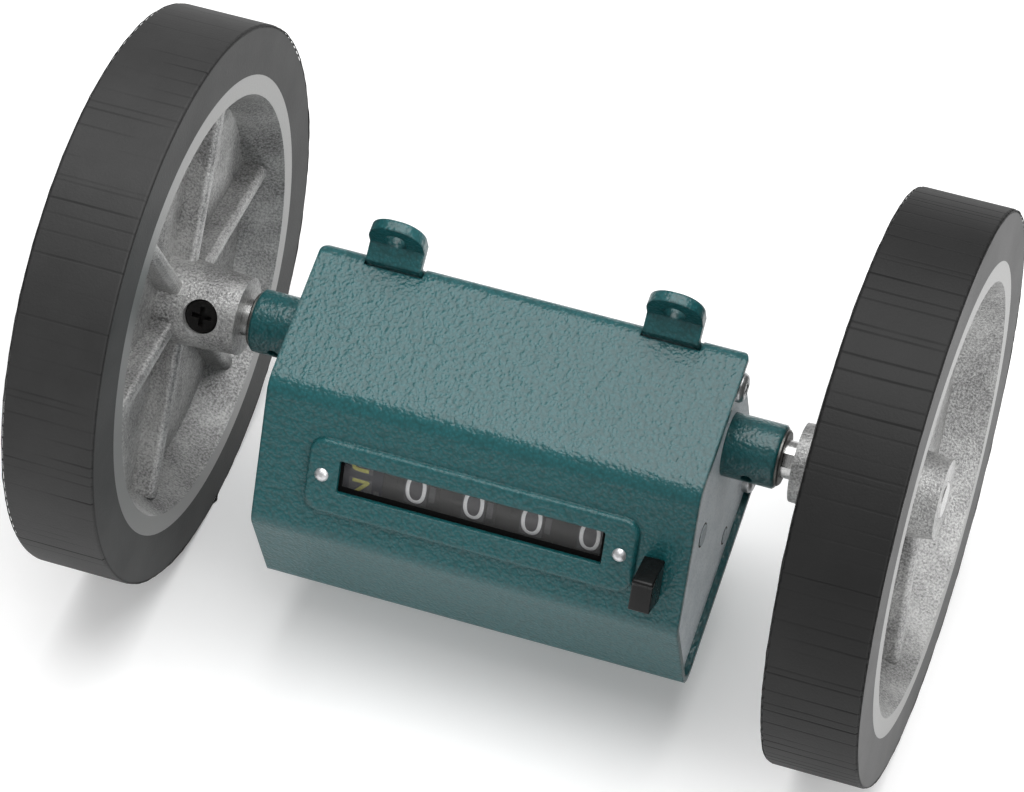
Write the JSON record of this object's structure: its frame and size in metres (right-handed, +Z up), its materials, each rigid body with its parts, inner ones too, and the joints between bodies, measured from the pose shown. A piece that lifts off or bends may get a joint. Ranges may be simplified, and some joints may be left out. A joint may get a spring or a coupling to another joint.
{
  "type": "cable length counter",
  "caption": "Cable length counter: rubber-tyred measuring wheels on a common axle, folded painted casing with a number window, geared counting drums, reset lever and mounting ears.",
  "frame": {"origin": "on the floor under the axle, midway between the wheels", "axes": "+X along the axle to the right wheel (the reset lever's side), -Y toward the number window, +Z up"},
  "size_m": [0.1586, 0.106, 0.1061],
  "materials": {
    "cast_rim": "satin",
    "tyre_rubber": "matte",
    "set_screw_black": "satin",
    "end_plate_paint": "satin",
    "case_paint": "satin",
    "bracket_paint": "satin",
    "bush_bronze": "satin",
    "frame_steel": "satin",
    "rivet_aluminium": "satin",
    "screw_steel": "satin",
    "shaft_steel": "satin",
    "gear_brass": "satin",
    "spring_steel": "satin",
    "window_clear": "gloss",
    "drum_yellow": "matte",
    "drum_black": "matte",
    "pinion_plastic": "satin",
    "handle_black": "satin"
  },
  "bodies": {
    "casing": {"left_end_plate": "end_plate_paint", "left_bearing_boss": "bracket_paint", "left_mounting_ear": "bracket_paint", "left_bearing_bush": "bush_bronze", "left_counter_plate": "frame_steel", "left_window_rivet": "rivet_aluminium", "left_end_screw_top": "screw_steel", "left_end_screw_low": "screw_steel", "left_rear_screw_top": "screw_steel", "left_rear_screw_low": "screw_steel", "left_base_screw": "screw_steel", "right_end_plate": "end_plate_paint", "right_bearing_boss": "bracket_paint", "right_mounting_ear": "bracket_paint", "right_bearing_bush": "bush_bronze", "right_counter_plate": "frame_steel", "right_window_rivet": "rivet_aluminium", "right_end_screw_top": "screw_steel", "right_end_screw_low": "screw_steel", "right_rear_screw_top": "screw_steel", "right_rear_screw_low": "screw_steel", "right_base_screw": "screw_steel", "number_shaft": "shaft_steel", "step_shaft": "shaft_steel", "front_cover": "case_paint", "rear_plate": "bracket_paint", "frame_bar_top": "frame_steel", "frame_bar_low": "frame_steel", "frame_stay": "frame_steel", "window_lens": "window_clear"},
    "wheels": {"left_wheel_rim": "cast_rim", "right_wheel_rim": "cast_rim", "left_tyre": "tyre_rubber", "right_tyre": "tyre_rubber", "left_wheel_screw": "set_screw_black", "right_wheel_screw": "set_screw_black", "main_shaft": "shaft_steel", "drive_gear": "gear_brass", "thrust_washer": "shaft_steel", "thrust_collar": "shaft_steel"},
    "lay_gears": {"layshaft": "shaft_steel", "layshaft_gear": "gear_brass", "layshaft_pinion": "gear_brass"},
    "tenths_wheel": {"tenths_drum": "drum_yellow", "tenths_gear": "gear_brass"},
    "units_wheel": {"units_drum": "drum_black"},
    "tens_wheel": {"tens_drum": "drum_black"},
    "hundreds_wheel": {"hundreds_drum": "drum_black"},
    "thousands_wheel": {"thousands_drum": "drum_black"},
    "units_pinion": {"units_step_pinion": "pinion_plastic"},
    "tens_pinion": {"tens_step_pinion": "pinion_plastic"},
    "hundreds_pinion": {"hundreds_step_pinion": "pinion_plastic"},
    "thousands_pinion": {"thousands_step_pinion": "pinion_plastic"},
    "reset_lever": {"reset_arm": "frame_steel", "reset_handle": "handle_black"},
    "comb": {"reset_shaft": "shaft_steel", "reset_comb": "frame_steel", "comb_sector": "frame_steel", "reset_spring": "spring_steel"}
  },
  "joints": [
    {"name": "wheel_spin", "type": "hinge", "parent": "casing", "child": "wheels", "pos_m": [0, 0, 0.05305], "axis": [1, 0, 0], "continuous": true},
    {"name": "layshaft_spin", "type": "hinge", "parent": "casing", "child": "lay_gears", "pos_m": [-0.03, -0.00333, 0.03945], "axis": [1, 0, 0], "continuous": true},
    {"name": "tenths_spin", "type": "hinge", "parent": "casing", "child": "tenths_wheel", "pos_m": [-0.0214, -0.01491, 0.04443], "axis": [1, 0, 0], "continuous": true},
    {"name": "units_spin", "type": "hinge", "parent": "casing", "child": "units_wheel", "pos_m": [-0.0107, -0.01491, 0.04443], "axis": [1, 0, 0], "continuous": true},
    {"name": "units_pinion_spin", "type": "hinge", "parent": "casing", "child": "units_pinion", "pos_m": [-0.01605, -0.0135, 0.0298], "axis": [1, 0, 0], "continuous": true},
    {"name": "tens_spin", "type": "hinge", "parent": "casing", "child": "tens_wheel", "pos_m": [0, -0.01491, 0.04443], "axis": [1, 0, 0], "continuous": true},
    {"name": "tens_pinion_spin", "type": "hinge", "parent": "casing", "child": "tens_pinion", "pos_m": [-0.00535, -0.0135, 0.0298], "axis": [1, 0, 0], "continuous": true},
    {"name": "hundreds_spin", "type": "hinge", "parent": "casing", "child": "hundreds_wheel", "pos_m": [0.0107, -0.01491, 0.04443], "axis": [1, 0, 0], "continuous": true},
    {"name": "hundreds_pinion_spin", "type": "hinge", "parent": "casing", "child": "hundreds_pinion", "pos_m": [0.00535, -0.0135, 0.0298], "axis": [1, 0, 0], "continuous": true},
    {"name": "thousands_spin", "type": "hinge", "parent": "casing", "child": "thousands_wheel", "pos_m": [0.0214, -0.01491, 0.04443], "axis": [1, 0, 0], "continuous": true},
    {"name": "thousands_pinion_spin", "type": "hinge", "parent": "casing", "child": "thousands_pinion", "pos_m": [0.01605, -0.0135, 0.0298], "axis": [1, 0, 0], "continuous": true},
    {"name": "reset_swing", "type": "hinge", "parent": "casing", "child": "reset_lever", "pos_m": [0.0345, -0.01491, 0.04443], "axis": [1, 0, 0], "range_deg": [-12, 0], "stiffness_Nm_per_rad": 0.01, "springref_deg": 10.03},
    {"name": "comb_swing", "type": "hinge", "parent": "casing", "child": "comb", "pos_m": [0.0345, -0.00879, 0.06045], "axis": [1, 0, 0], "range_deg": [0, 19]}
  ],
  "couplings": [
    {"joint": "layshaft_spin", "follows": "wheel_spin", "ratio": -0.66667},
    {"joint": "tenths_spin", "follows": "wheel_spin", "ratio": 0.33333},
    {"joint": "units_spin", "follows": "wheel_spin", "ratio": 0.033333},
    {"joint": "units_pinion_spin", "follows": "wheel_spin", "ratio": -0.083333},
    {"joint": "tens_spin", "follows": "wheel_spin", "ratio": 0.0033333},
    {"joint": "tens_pinion_spin", "follows": "wheel_spin", "ratio": -0.0083333},
    {"joint": "hundreds_spin", "follows": "wheel_spin", "ratio": 0.00033333},
    {"joint": "hundreds_pinion_spin", "follows": "wheel_spin", "ratio": -0.00083333},
    {"joint": "thousands_spin", "follows": "wheel_spin", "ratio": 0.000033333},
    {"joint": "thousands_pinion_spin", "follows": "wheel_spin", "ratio": -0.000083333},
    {"joint": "comb_swing", "follows": "reset_swing", "ratio": -1.5789}
  ]
}
